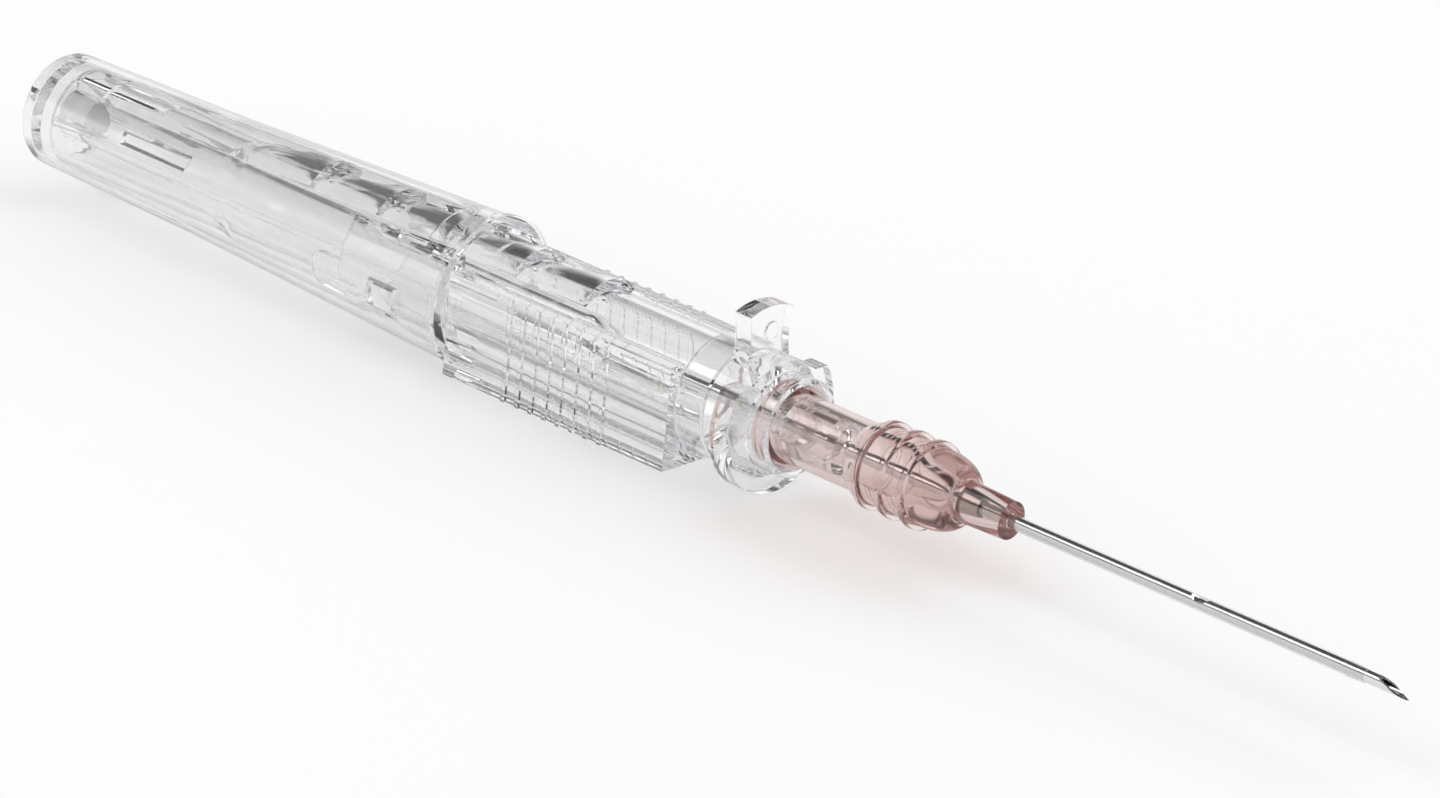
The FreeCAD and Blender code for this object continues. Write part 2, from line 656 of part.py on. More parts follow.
def make_needle():
    """Steel tube with a ground point and a flashback notch in its top."""
    body = new_body("needle")
    neck_end = grip_front - flash_end_setback + neck_cone_length + neck_length
    root = neck_end - needle_root_depth
    turn(body, "cannula", [
        (root, needle_bore_radius),
        (root, needle_radius),
        (needle_tip, needle_radius),
        (needle_tip, needle_bore_radius),
    ])
    bevel = new_sketch(body, "bevel_profile", "XZ_Plane")
    add_outline(bevel, [
        (needle_heel, needle_radius),
        (needle_tip, -needle_radius),
        (needle_tip + 1, -needle_radius),
        (needle_tip + 1, needle_radius * 2),
        (needle_heel, needle_radius * 2),
    ])
    cut_block(body, "bevel", bevel, needle_radius * 4, both_sides=True)
    notch = new_sketch(body, "notch_profile", "XZ_Plane")
    notch_middle = hub_end + notch_station
    notch_floor = needle_radius - notch_depth
    add_outline(notch, [
        (notch_middle - notch_length / 2, needle_radius),
        (notch_middle - notch_length / 4, notch_floor),
        (notch_middle + notch_length / 4, notch_floor),
        (notch_middle + notch_length / 2, needle_radius),
        (notch_middle + notch_length / 2, needle_radius * 2),
        (notch_middle - notch_length / 2, needle_radius * 2),
    ])
    cut_block(body, "notch", notch, needle_radius * 4, both_sides=True)
    return body


def make_guard_tube():
    """Sliding tube with a row of stepped scales along its top, each with a slot before it."""
    body = new_body("guard_tube")
    rack_start = first_tooth_station - tooth_pitch
    cone_start = rack_start - guard_cone_length
    tube_front = boss_rear + seat_depth
    turn(body, "tube", [
        (guard_start, guard_tail_bore),
        (guard_start, guard_tail_radius),
        (cone_start, guard_tail_radius),
        (rack_start, guard_radius),
        (tube_front, guard_radius),
        (tube_front, guard_bore),
        (rack_start, guard_bore),
        (cone_start, guard_tail_bore),
    ])
    tooth_foot = guard_radius - tooth_lift - tooth_sink
    tooth_root = tooth_foot - guard_wall / 3
    tooth = turn_sector(body, "tooth", [
        (rack_start, tooth_root),
        (rack_start, tooth_foot),
        (first_tooth_station, tooth_radius),
        (first_tooth_station, tooth_root),
    ], tooth_sweep, lift=tooth_lift)
    repeat_along(body, "teeth", tooth, tooth_count, tooth_pitch)
    eye = new_sketch(body, "eye_section", "XY_Plane", guard_bore - guard_wall)
    eye_rear = first_tooth_station + eye_setback
    add_rectangle(eye, eye_rear, eye_rear + eye_length, -eye_half_width, eye_half_width)
    eye_cut = cut_block(body, "eye", eye, guard_wall * 4)
    repeat_along(body, "eyes", eye_cut, tooth_count, tooth_pitch)
    window = new_sketch(body, "lock_window_section", "XY_Plane", guard_tail_bore / 2)
    add_rectangle(
        window, lock_window_start, lock_window_start + lock_window_length,
        -lock_window_half_width, lock_window_half_width)
    cut_block(body, "lock_window", window, guard_tail_radius)
    slots = new_sketch(body, "side_slot_section", "XZ_Plane")
    add_rectangle(
        slots, side_slot_start, side_slot_start + side_slot_length,
        side_slot_rise - side_slot_half_height, side_slot_rise + side_slot_half_height)
    cut_block(body, "side_slots", slots, guard_tail_radius * 3, both_sides=True)
    return body


def make_guard_nose():
    """Round body over the tube's end, with flange, push tab, hub ring and male cone."""
    body = new_body("guard_nose")
    seat_end = boss_rear + seat_depth
    seat_radius = guard_radius + seat_clearance
    cone_end = flange_front + luer_length
    cone_tip_radius = luer_radius - luer_taper * luer_length
    cone_bore = cone_tip_radius - luer_wall
    cup_end = flange_front + cup_length
    flange_root = boss_radius - feature_root
    turn(body, "flange", [
        (flange_rear, flange_root),
        (flange_rear, flange_radius),
        (flange_front, flange_radius),
        (flange_front, flange_root),
    ])
    flat = new_sketch(body, "flange_flat_section", "YZ_Plane", flange_rear)
    add_rectangle(
        flat, -flange_radius, flange_radius,
        boss_radius - flange_flat_drop, flange_radius * 2)
    cut_block(body, "flange_flat", flat, flange_thickness)
    turn(body, "nose", [
        (boss_rear, seat_radius),
        (boss_rear, boss_radius),
        (flange_front, boss_radius),
        (flange_front, cup_radius),
        (cup_end, cup_radius),
        (cup_end, cup_bore),
        (flange_front, cup_bore),
        (flange_front, luer_radius),
        (cone_end, cone_tip_radius),
        (cone_end, needle_passage),
        (cone_end - luer_wall, needle_passage),
        (cone_end - luer_wall * 2, cone_bore),
        (flange_rear, cone_bore),
        (seat_end, guard_bore),
        (seat_end, seat_radius),
    ])
    tab_sketch = new_sketch(body, "tab_section", "YZ_Plane", flange_rear - tab_thickness)
    add_tab_outline(tab_sketch)
    raise_block(body, "push_tab", tab_sketch, tab_thickness)
    button = new_sketch(body, "button_section", "YZ_Plane", flange_rear)
    add_circle(button, 0, boss_radius + button_rise, button_radius)
    raise_block(body, "tab_button", button, button_height)
    return body


def arc_radius(half_chord, rise):
    """Radius of the arc that rises this far over a chord."""
    return (half_chord * half_chord + rise * rise) / (rise * 2)


def add_tab_outline(sketch):
    """Two hollow sides from the round body up, closed by an arched top."""
    half = tab_half_width.number
    foot = boss_radius - tab_root
    top = tab_shoulder.number
    waist = half - tab_hollow.number
    middle = (top + foot.number) / 2
    right_top = FreeCAD.Vector(half, top, 0)
    right_foot = FreeCAD.Vector(half, foot.number, 0)
    left_foot = FreeCAD.Vector(-half, foot.number, 0)
    left_top = FreeCAD.Vector(-half, top, 0)
    right_waist = FreeCAD.Vector(waist, middle, 0)
    left_waist = FreeCAD.Vector(-waist, middle, 0)
    crest = FreeCAD.Vector(0, top + tab_crown.number, 0)
    right = sketch.addGeometry(Part.Arc(right_top, right_waist, right_foot), False)
    base = sketch.addGeometry(Part.LineSegment(right_foot, left_foot), False)
    left = sketch.addGeometry(Part.Arc(left_foot, left_waist, left_top), False)
    arch = sketch.addGeometry(Part.Arc(right_top, crest, left_top), False)
    sketch.addConstraint(Sketcher.Constraint("Coincident", right, 2, base, 1))
    sketch.addConstraint(Sketcher.Constraint("Coincident", base, 2, left, 1))
    sketch.addConstraint(Sketcher.Constraint("Coincident", arch, 1, right, 1))
    sketch.addConstraint(Sketcher.Constraint("Coincident", arch, 2, left, 2))
    side_centre = tab_half_width - tab_hollow + arc_radius((tab_shoulder - foot) / 2, tab_hollow)
    pin(sketch, right, 1, "X", tab_half_width)
    pin(sketch, right, 1, "Y", tab_shoulder)
    pin(sketch, right, 3, "X", side_centre)
    pin(sketch, base, 1, "X", tab_half_width)
    pin(sketch, base, 1, "Y", foot)
    pin(sketch, left, 1, "X", -tab_half_width)
    pin(sketch, left, 1, "Y", foot)
    pin(sketch, left, 2, "X", -tab_half_width)
    pin(sketch, left, 3, "X", -side_centre)
    pin(sketch, arch, 3, "X", 0)
    pin(sketch, arch, 3, "Y", tab_shoulder + tab_crown - arc_radius(tab_half_width, tab_crown))


def make_catheter_hub():
    """Moulded hub: luer socket, chamber, three ribs, domed shoulder and flared nose."""
    body = new_body("catheter_hub")
    socket_mouth = luer_radius + socket_clearance + luer_taper * (flange_front - hub_mouth)
    socket_end = hub_mouth + socket_length
    socket_floor = socket_mouth - luer_taper * socket_length
    chamber_end = socket_end + chamber_length
    nose_root = hub_end - nose_length
    dome_start = nose_root - dome_length
    tube_seat = tube_radius + press_clearance
    ferrule_seat = ferrule_radius + press_clearance
    chamber_radius = socket_floor - chamber_step
    nose_waist_radius = tube_radius + nose_waist_wall
    nose_rim_radius = nose_waist_radius + nose_rim_rise
    dome_end_radius = nose_radius + dome_end_step
    swell = hub_mouth + hub_swell_start
    outline = [(hub_mouth, socket_mouth)]
    outline.extend(rear_corner(hub_mouth, hub_base_radius, hub_base_rounding))
    outline.extend([
        (hub_mouth + hub_base_length, hub_base_radius),
        (hub_mouth + hub_base_length + hub_base_taper, hub_body_radius),
        (swell, hub_body_radius),
        (swell + hub_swell_length, hub_swell_radius),
    ])
    dome_end = nose_root - dome_end_length
    outline.extend(quarter_curve(dome_start, hub_swell_radius, dome_end, dome_end_radius))
    outline.extend([
        (nose_root, nose_radius),
        (hub_end - nose_rim_length, nose_waist_radius),
        (hub_end - nose_rim_length, nose_rim_radius),
        (hub_end, nose_rim_radius),
        (hub_end, tube_seat),
        (hub_end - ferrule_inset, tube_seat),
        (hub_end - ferrule_inset - ferrule_length, ferrule_seat),
        (chamber_end, chamber_radius),
        (socket_end, chamber_radius),
        (socket_end, socket_floor),
    ])
    turn(body, "hub_shell", outline)
    first = hub_mouth + hub_rib_start
    last = first + hub_rib_width
    rib_root = hub_swell_radius - feature_root
    rib_top = hub_swell_radius + hub_rib_rise
    rib = turn(body, "rib", [
        (first, rib_root),
        (first, rib_top),
        (last, rib_top),
        (last, rib_root),
    ])
    repeat_along(body, "ribs", rib, hub_rib_count, hub_rib_pitch)
    return body


def make_catheter_tube():
    """Thin flexible tube over the needle, drawn down to a fine edge at its tip."""
    body = new_body("catheter_tube")
    root = hub_end - ferrule_inset - ferrule_length / 2
    turn(body, "tube_wall", [
        (root, tube_bore),
        (root, tube_radius),
        (tube_end - tube_taper_length, tube_radius),
        (tube_end, tube_bore + tube_tip_wall),
        (tube_end, tube_bore),
    ])
    return body


def make_hub_ferrule():
    """Flared metal sleeve that wedges the root of the catheter into the nose."""
    body = new_body("hub_ferrule")
    rear = hub_end - ferrule_inset - ferrule_length
    front = hub_end - ferrule_inset - ferrule_length / 2 - ferrule_gap
    seat_front = (tube_radius + ferrule_radius) / 2
    turn(body, "sleeve", [
        (rear, ferrule_radius - ferrule_wall),
        (rear, ferrule_radius),
        (front, seat_front),
        (front, seat_front - ferrule_wall),
    ])
    return body


MAKERS = (
    make_rear_barrel,
    make_grip_housing,
    make_needle_hub,
    make_vent_plug,
    make_needle,
    make_guard_tube,
    make_guard_nose,
    make_catheter_hub,
    make_catheter_tube,
    make_hub_ferrule,
)

parts = [make() for make in MAKERS]
doc.recompute()

for item in doc.Objects:
    if "Invalid" in item.State or "Error" in item.State:
        raise ValueError(item.Label + " failed: " + str(item.State))
for body in parts:
    if body.Shape.isNull() or not body.Shape.isValid() or len(body.Shape.Solids) != 1:
        raise ValueError(body.Label + " is not one valid solid")

os.makedirs("parts", exist_ok=True)
for body in parts:
    body.Shape.exportStep("parts/" + body.Label + ".step")
    print(body.Label, round(body.Shape.Volume, 3))
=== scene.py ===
import math

import bmesh
import bpy
from mathutils import Matrix, Vector


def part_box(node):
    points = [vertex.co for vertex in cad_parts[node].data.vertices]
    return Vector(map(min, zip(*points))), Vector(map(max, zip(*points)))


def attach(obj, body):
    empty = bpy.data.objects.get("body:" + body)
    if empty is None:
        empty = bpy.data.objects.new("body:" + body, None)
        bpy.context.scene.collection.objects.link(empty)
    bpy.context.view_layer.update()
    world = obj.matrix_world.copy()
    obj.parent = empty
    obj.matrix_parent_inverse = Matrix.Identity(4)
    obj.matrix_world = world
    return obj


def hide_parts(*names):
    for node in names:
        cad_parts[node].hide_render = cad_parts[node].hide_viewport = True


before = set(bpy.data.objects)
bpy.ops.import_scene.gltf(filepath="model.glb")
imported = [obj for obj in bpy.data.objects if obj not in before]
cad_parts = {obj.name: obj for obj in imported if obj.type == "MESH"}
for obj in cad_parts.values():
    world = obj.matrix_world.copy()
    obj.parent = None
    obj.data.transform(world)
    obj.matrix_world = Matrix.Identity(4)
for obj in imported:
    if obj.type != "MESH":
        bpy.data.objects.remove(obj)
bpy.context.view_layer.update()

bl_info = {
    "name": "Safety IV Cannula",
    "version": (1, 0, 0),
    "blender": (4, 5, 0),
    "location": "3D View > Sidebar > Cannula",
    "description": "Softened mouldings, finishes, floor, lamps and camera for a safety iv cannula",
    "category": "Object",
}

MM = 0.001

# Points nearer than this are one point, and faces nearer to flat than this are one face
MERGE_DISTANCE = 0.001 * MM
FLAT_ANGLE = math.radians(0.5)
CUT_TOLERANCE = 0.0001 * MM
# Edges that turn by more than this are softened
SHARP_ANGLE = math.radians(25)
EDGE_SEGMENTS = 3

# Faces that a ray turns at inside the clear walls before it goes straight on
LAST_TURN = 14.5
# How far a wall leans from the eye before its painted edge shade begins: 0 is square on, 1 is along
# it
PAINTED_EDGE_SHADE_START = 0.6
WAVE_HEIGHT = 0.004 * MM
WAVE_STRENGTH = 0.35

# Every station is measured from the rear end, and every radius from the needle's axis
barrel_low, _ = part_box("rear_barrel")
needle_low, needle_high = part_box("needle")
AXIS_HEIGHT = (needle_low.z + needle_high.z) / 2
REAR_END = barrel_low.x

# Needle hub on the closed rear end of the barrel
BARREL_FLOOR = 1.0 * MM
FLOOR_MARGIN = 0.01 * MM
FLANGE_AIR = 0.03 * MM
NECK_END = 66.0 * MM

# Adhesive bead in front of the neck: distance past the neck's end, and height over the needle
BEAD_GAP = 0.02 * MM
BEAD_OUTLINE = (
    (0.0, 0.0), (0.0, 0.38 * MM), (0.2 * MM, 0.34 * MM), (0.42 * MM, 0.2 * MM), (0.52 * MM, 0.0),
)
BEAD_EDGE = 0.03 * MM

# Clear mouldings: piece, CAD node, body and slot
CLEAR_MOULDINGS = (
    ("barrel_moulding", "rear_barrel", "holder", "clear_barrel"),
    ("grip_moulding", "grip_housing", "holder", "clear_grip"),
    ("flash_chamber_moulding", "needle_hub", "holder", "clear_core"),
    ("guard_tube_moulding", "guard_tube", "guard", "clear_guard"),
    ("guard_nose_moulding", "guard_nose", "guard", "clear_guard"),
)

# Pink hub
HUB_MOUTH = 77.05 * MM
HUB_END = 98.95 * MM
HUB_BASE_STEP = 0.53 * MM
HUB_BASE_LENGTH = 1.5 * MM
HUB_BASE_CHAMFER = 0.5 * MM
HUB_SWELL = 0.33 * MM
HUB_SWELL_START = 8.3 * MM
HUB_SWELL_LENGTH = 0.6 * MM
RIB_COUNT = 3
RIB_START = 9.6 * MM
RIB_PITCH = 2.15 * MM
RIB_WIDTH = 0.5 * MM
RIB_RISE = 0.4 * MM
DOME_LENGTH = 3.0 * MM
DOME_STEPS = 12
# The dome ends in a small fillet round the nose
DOME_FILLET_LENGTH = 0.25 * MM
DOME_FILLET_RISE = 0.15 * MM
NOSE_LENGTH = 4.1 * MM
NOSE_RADIUS = 1.56 * MM
NOSE_END_RADIUS = 1.43 * MM
TUBE_SEAT_RADIUS = 0.56 * MM
FERRULE_INSET = 0.6 * MM
FERRULE_LENGTH = 3.6 * MM
FERRULE_SEAT_RADIUS = 0.99 * MM
CHAMBER_LENGTH = 3.0 * MM
FUNNEL_LENGTH = 2.0 * MM
CHAMBER_RADIUS = 1.745 * MM
SOCKET_LENGTH = 9.2 * MM
SOCKET_FLOOR_RADIUS = 1.915 * MM

# Draw lines on the needle, coarser than the real ones so that they show
DRAW_LINE_PITCH = 0.05 * MM
DRAW_LINE_DEPTH = 0.002 * MM
# They are long: along the needle their pattern is read at this share of its scale
DRAW_LINE_STRETCH = 0.04
# Beads of the sintered vent plug
SINTERED_BEAD = 0.2 * MM
PORE_DEPTH = 0.08 * MM

SENSOR_WIDTH = 36.0
VIEW_END = 10.0

# Lamps: name, place in metres, side in metres and share of the lamp power
LAMPS = (
    ("key_lamp", (-0.25, -0.35, 0.6), 0.45, 1.0),
    ("rear_lamp", (0.15, 0.5, 0.5), 0.35, 0.6),
)
# The room is white below the first height of a direction and reaches its overhead level at the
# second. Reflections and bent light meet the dark sooner, by the third.
WHITE_END = 0.4
OVERHEAD_START = 0.65
BENT_LIGHT_RISE = 0.17


def linear(hex_colour):
    """Linear RGBA of an sRGB hex colour."""
    channels = []
    for start in (0, 2, 4):
        level = int(hex_colour[start:start + 2], 16) / 255
        if level <= 0.04045:
            channels.append(level / 12.92)
        else:
            channels.append(((level + 0.055) / 1.055) ** 2.4)
    return (*channels, 1.0)


def new_material(name):
    """An empty node material and its output node."""
    material = bpy.data.materials.new(name)
    material.use_nodes = True
    material.node_tree.nodes.clear()
    return material, add_node(material, "ShaderNodeOutputMaterial")


def add_node(owner, kind, settings=None, **inputs):
    """Add a node; settings are its properties, inputs its socket values or linked sockets."""
    node = owner.node_tree.nodes.new(kind)
    for key, value in (settings or {}).items():
        setattr(node, key, value)
    for key, value in inputs.items():
        name = key.replace("_", " ")
        socket = node.inputs[int(key[1:])] if key[1:].isdigit() else node.inputs[name]
        if isinstance(value, bpy.types.NodeSocket):
            owner.node_tree.links.new(value, socket)
        else:
            socket.default_value = value
    return node


def give_material(node, material):
    """Put a material on a CAD node, over whatever slots it has."""
    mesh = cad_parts[node].data
    mesh.materials.clear()
    mesh.materials.append(material)


def join(material, shader, output, socket="Surface"):
    """Lead a shader to the material's output."""
    material.node_tree.links.new(shader.outputs[0], output.inputs[socket])


def moulding_waves(material, spacing):
    """A faint waviness of a moulded surface, as a bump; spacing is a real size in metres."""
    place = add_node(material, "ShaderNodeTexCoord")
    noise = add_node(
        material, "ShaderNodeTexNoise", Vector=place.outputs["Object"], Scale=1 / spacing,
        Detail=2.0, Roughness=0.45,
    )
    bump = add_node(
        material, "ShaderNodeBump", Height=noise.outputs["Fac"], Strength=WAVE_STRENGTH,
        Distance=WAVE_HEIGHT,
    )
    return bump.outputs["Normal"]


def clear_plastic(name, tint, edge, ior, roughness, lamp_share, waviness, depth=None):
    """Clear moulded plastic that lets lamps through, so that what it holds is lit.

    A wall seen along its length turns to its edge colour, partly for the longer path through it and
    mostly as painted shade for the dark surroundings it reflects and bends.
    Depth is the colour and density of thick walls, where they show one.
    """
    material, output = new_material(name)
    normal = moulding_waves(material, waviness)
    turned = add_node(material, "ShaderNodeLayerWeight", Blend=0.5, Normal=normal)
    painted_edge_shade = add_node(
        material, "ShaderNodeMapRange", {"interpolation_type": "SMOOTHSTEP"},
        Value=turned.outputs["Facing"], From_Min=PAINTED_EDGE_SHADE_START, From_Max=1.0,
    )
    # Painted shade: the edge colour darkens walls seen along their length, standing for dark
    # surroundings in their reflections and bent light
    colour = add_node(
        material, "ShaderNodeMix", {"data_type": "RGBA"}, _0=painted_edge_shade.outputs[0], _6=tint, _7=edge,
    )
    body = add_node(
        material, "ShaderNodeBsdfPrincipled", Base_Color=colour.outputs[2], Roughness=roughness,
        IOR=ior, Transmission_Weight=1.0, Normal=normal,
    )
    path = add_node(material, "ShaderNodeLightPath")
    # Light caught in a long wall leaks out at last, as it does from a real moulding
    spent = add_node(
        material, "ShaderNodeMath", {"operation": "GREATER_THAN"}, _0=path.outputs["Ray Depth"],
        _1=LAST_TURN,
    )
    passes = add_node(
        material, "ShaderNodeMath", {"operation": "MAXIMUM"}, _0=path.outputs["Is Shadow Ray"],
        _1=spent.outputs[0],
    )
    open_to_lamps = add_node(material, "ShaderNodeBsdfTransparent", Color=lamp_share)
    mix = add_node(
        material, "ShaderNodeMixShader", _0=passes.outputs[0], _1=body.outputs[0],
        _2=open_to_lamps.outputs[0],
    )
    join(material, mix, output)
    if depth:
        tone, density = depth
        thick = add_node(material, "ShaderNodeVolumeAbsorption", Color=tone, Density=density)
        join(material, thick, output, "Volume")
    return material


def softened(shape, radius):
    """Round every sharp edge."""
    sharp = []
    for edge in shape.edges:
        if len(edge.link_faces) == 2 and edge.calc_face_angle() > SHARP_ANGLE:
            sharp.append(edge)
    bmesh.ops.bevel(
        shape, geom=sharp, offset=radius, offset_type="OFFSET", affect="EDGES",
        segments=EDGE_SEGMENTS, profile=0.5, material=-1, clamp_overlap=True,
    )


def finished(name, shape):
    """Make a smooth-shaded object of a shape whose place is in its mesh."""
    for face in shape.faces:
        face.smooth = True
    mesh = bpy.data.meshes.new(name)
    shape.to_mesh(mesh)
    shape.free()
    piece = bpy.data.objects.new(name, mesh)
    bpy.context.scene.collection.objects.link(piece)
    # Flat faces stay flat up to their softened edges
    even = piece.modifiers.new("even_shading", "WEIGHTED_NORMAL")
    even.weight = 100
    return piece


def merged_copy(node):
    """The shape of a CAD node, with its points merged and its flat facets joined."""
    shape = bmesh.new()
    shape.from_mesh(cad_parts[node].data)
    bmesh.ops.remove_doubles(shape, verts=shape.verts, dist=MERGE_DISTANCE)
    bmesh.ops.dissolve_limit(
        shape, angle_limit=FLAT_ANGLE, verts=shape.verts, edges=shape.edges,
        use_dissolve_boundaries=False, delimit=set(),
    )
    return shape


def moulded_copy(name, node, edge_radius):
    """A copy of a CAD node with softened edges."""
    shape = merged_copy(node)
    if node == "needle_hub":
        lift_off_floor(shape)
    softened(shape, edge_radius)
    return finished(name, shape)


def lift_off_floor(shape):
    """Leave the hair of air that a pressed flange keeps to the barrel's rear end."""
    floor = REAR_END + BARREL_FLOOR + FLOOR_MARGIN
    for vertex in shape.verts:
        if vertex.co.x < floor:
            vertex.co.x += FLANGE_AIR


def turned_piece(name, outline, edge_radius, steps=128):
    """Spin a closed outline of (station, radius) in metres round the cannula's axis."""
    shape = bmesh.new()
    ring = []
    for station, radius in outline:
        ring.append(shape.verts.new((REAR_END + station, 0, AXIS_HEIGHT + radius)))
    edges = []
    for index, vertex in enumerate(ring):
        edges.append(shape.edges.new((vertex, ring[(index + 1) % len(ring)])))
    bmesh.ops.spin(
        shape, geom=ring + edges, cent=(0, 0, AXIS_HEIGHT), axis=(1, 0, 0), angle=math.tau,
        steps=steps, use_merge=True,
    )
    bmesh.ops.recalc_face_normals(shape, faces=shape.faces)
    softened(shape, edge_radius)
    return finished(name, shape)


def hub_outline(sizes):
    """Outline of the hub: socket, body, ribs, dome and nose, as (station, radius)."""
    mouth = HUB_MOUTH
    body = sizes.socket_radius + sizes.wall
    swell = body + HUB_SWELL
    outline = [
        (mouth, sizes.socket_radius),
        (mouth, body + HUB_BASE_STEP),
        (mouth + HUB_BASE_LENGTH, body + HUB_BASE_STEP),
        (mouth + HUB_BASE_LENGTH + HUB_BASE_CHAMFER, body),
        (mouth + HUB_SWELL_START, body),
        (mouth + HUB_SWELL_START + HUB_SWELL_LENGTH, swell),
    ]
    for index in range(RIB_COUNT):
        rear = mouth + RIB_START + index * RIB_PITCH
        outline.extend([
            (rear, swell), (rear, swell + RIB_RISE), (rear + RIB_WIDTH, swell + RIB_RISE),
            (rear + RIB_WIDTH, swell),
        ])
    dome_end = HUB_END - NOSE_LENGTH
    dome_start = dome_end - DOME_LENGTH
    fillet = NOSE_RADIUS + DOME_FILLET_RISE
    for step in range(DOME_STEPS + 1):
        turned = math.radians(90) * step / DOME_STEPS
        outline.append((
            dome_start + (DOME_LENGTH - DOME_FILLET_LENGTH) * math.sin(turned),
            fillet + (swell - fillet) * math.cos(turned),
        ))
    outline.extend([
        (dome_end, NOSE_RADIUS),
        (HUB_END, NOSE_END_RADIUS),
        (HUB_END, TUBE_SEAT_RADIUS),
        (HUB_END - FERRULE_INSET, TUBE_SEAT_RADIUS),
        (HUB_END - FERRULE_INSET - FERRULE_LENGTH, FERRULE_SEAT_RADIUS),
        (mouth + SOCKET_LENGTH + CHAMBER_LENGTH + FUNNEL_LENGTH, FERRULE_SEAT_RADIUS),
        (mouth + SOCKET_LENGTH + CHAMBER_LENGTH, CHAMBER_RADIUS),
        (mouth + SOCKET_LENGTH, CHAMBER_RADIUS),
        (mouth + SOCKET_LENGTH, SOCKET_FLOOR_RADIUS),
    ])
    return outline


# Sizes and colours that a user would change

class ClearPlasticSettings(bpy.types.PropertyGroup):
    tint: bpy.props.FloatVectorProperty(
        name="Tint", description="Clear polycarbonate seen square on", subtype="COLOR", size=4,
        min=0.0, max=1.0, default=linear("FEFEFE"),
    )
    # Painted shade: the dark edge lines of the clear walls
    edge: bpy.props.FloatVectorProperty(
        name="Edge", description="Colour of a wall seen along its length", subtype="COLOR", size=4,
        min=0.0, max=1.0, default=linear("4A4850"),
    )
    depth_colour: bpy.props.FloatVectorProperty(
        name="Depth colour", description="Cool grey that light takes on inside thick walls",
        subtype="COLOR", size=4, min=0.0, max=1.0, default=linear("BDBCC8"),
    )
    density: bpy.props.FloatProperty(
        name="Density", description="How fast the plastic takes light, per metre", default=12.0,
        min=0.0, max=5000.0,
    )
    lamp_share: bpy.props.FloatVectorProperty(
        name="Lamp share", description="Light that a wall passes on to what is behind it",
        subtype="COLOR", size=4, min=0.0, max=1.0, default=linear("FBFBFB"),
    )
    ior: bpy.props.FloatProperty(
        name="IOR", description="Refractive index of polycarbonate", default=1.58, min=1.0, max=2.0,
    )
    roughness: bpy.props.FloatProperty(
        name="Roughness", description="Polish of the mould", default=0.0, min=0.0, max=1.0,
    )
    waviness: bpy.props.FloatProperty(
        name="Waviness", description="Distance between the faint waves of the moulded walls",
        default=2.5 * MM, min=0.1 * MM, max=20 * MM, unit="LENGTH", subtype="DISTANCE", precision=5,
    )
    edge_radius: bpy.props.FloatProperty(
        name="Edge radius", description="Softened edges of the mouldings", default=0.05 * MM,
        min=0.0, max=1 * MM, unit="LENGTH", precision=5,
    )


class HubSettings(bpy.types.PropertyGroup):
    colour: bpy.props.FloatVectorProperty(
        name="Colour", description="Pink that stands for 20 gauge, as light leaves a thick wall",
        subtype="COLOR", size=4, min=0.0, max=1.0, default=linear("D0A09A"),
    )
    tint: bpy.props.FloatVectorProperty(
        name="Tint", description="Thin wall seen square on", subtype="COLOR", size=4, min=0.0,
        max=1.0, default=linear("F8F1EF"),
    )
    # Painted shade: the dark red edges of the pink walls
    edge: bpy.props.FloatVectorProperty(
        name="Edge", description="Colour of a wall seen along its length", subtype="COLOR", size=4,
        min=0.0, max=1.0, default=linear("9C564C"),
    )
    lamp_share: bpy.props.FloatVectorProperty(
        name="Lamp share", description="Light that a wall passes on to what is behind it",
        subtype="COLOR", size=4, min=0.0, max=1.0, default=linear("F5E9E6"),
    )
    ior: bpy.props.FloatProperty(
        name="IOR", description="Refractive index of polypropylene", default=1.49, min=1.0, max=2.0,
    )
    roughness: bpy.props.FloatProperty(
        name="Roughness", description="Polypropylene is a little softer in gloss", default=0.08,
        min=0.0, max=1.0,
    )
    waviness: bpy.props.FloatProperty(
        name="Waviness", description="Distance between the faint waves of the moulded walls",
        default=1.2 * MM, min=0.1 * MM, max=20 * MM, unit="LENGTH", subtype="DISTANCE", precision=5,
    )
    density: bpy.props.FloatProperty(
        name="Density", description="How fast the pink takes light, per metre", default=160.0,
        min=0.0, max=5000.0,
    )
    edge_radius: bpy.props.FloatProperty(
        name="Edge radius", description="Softened edges of the moulding", default=0.06 * MM,
        min=0.0, max=1 * MM, unit="LENGTH", precision=5,
    )
    socket_radius: bpy.props.FloatProperty(
        name="Socket radius", description="Luer socket at its mouth", default=2.191 * MM,
        unit="LENGTH", precision=5,
    )
    wall: bpy.props.FloatProperty(
        name="Wall", description="Wall of the hub at the mouth", default=0.429 * MM, unit="LENGTH",
        precision=5,
    )


class SteelSettings(bpy.types.PropertyGroup):
    colour: bpy.props.FloatVectorProperty(
        name="Colour", description="Bright drawn stainless steel", subtype="COLOR", size=4,
        min=0.0, max=1.0, default=linear("E0E1E3"),
    )
    roughness: bpy.props.FloatProperty(
        name="Roughness", description="Polish along the tube", default=0.16, min=0.0, max=1.0,
    )
    needle_radius: bpy.props.FloatProperty(
        name="Needle radius", description="Half the needle's thickness", unit="LENGTH", precision=5,
        default=(needle_high.y - needle_low.y) / 2,
    )
    lancet_angle: bpy.props.FloatProperty(
        name="Lancet angle", description="Steepness of the two side facets of the point",
        subtype="ANGLE", default=math.radians(22),
    )
    lancet_turn: bpy.props.FloatProperty(
        name="Lancet turn", description="Turn of the needle for each side facet", subtype="ANGLE",
        default=math.radians(35),
    )
    burr: bpy.props.FloatProperty(
        name="Edge radius", description="Polished edges of the point", default=0.01 * MM,
        unit="LENGTH", precision=6,
    )


class FilmSettings(bpy.types.PropertyGroup):
    tint: bpy.props.FloatVectorProperty(
        name="Tint", description="Clear fluoropolymer of the catheter", subtype="COLOR", size=4,
        min=0.0, max=1.0, default=linear("F3F3F2"),
    )
    ior: bpy.props.FloatProperty(
        name="IOR", description="Refractive index of the fluoropolymer", default=1.34, min=1.0,
        max=2.0,
    )


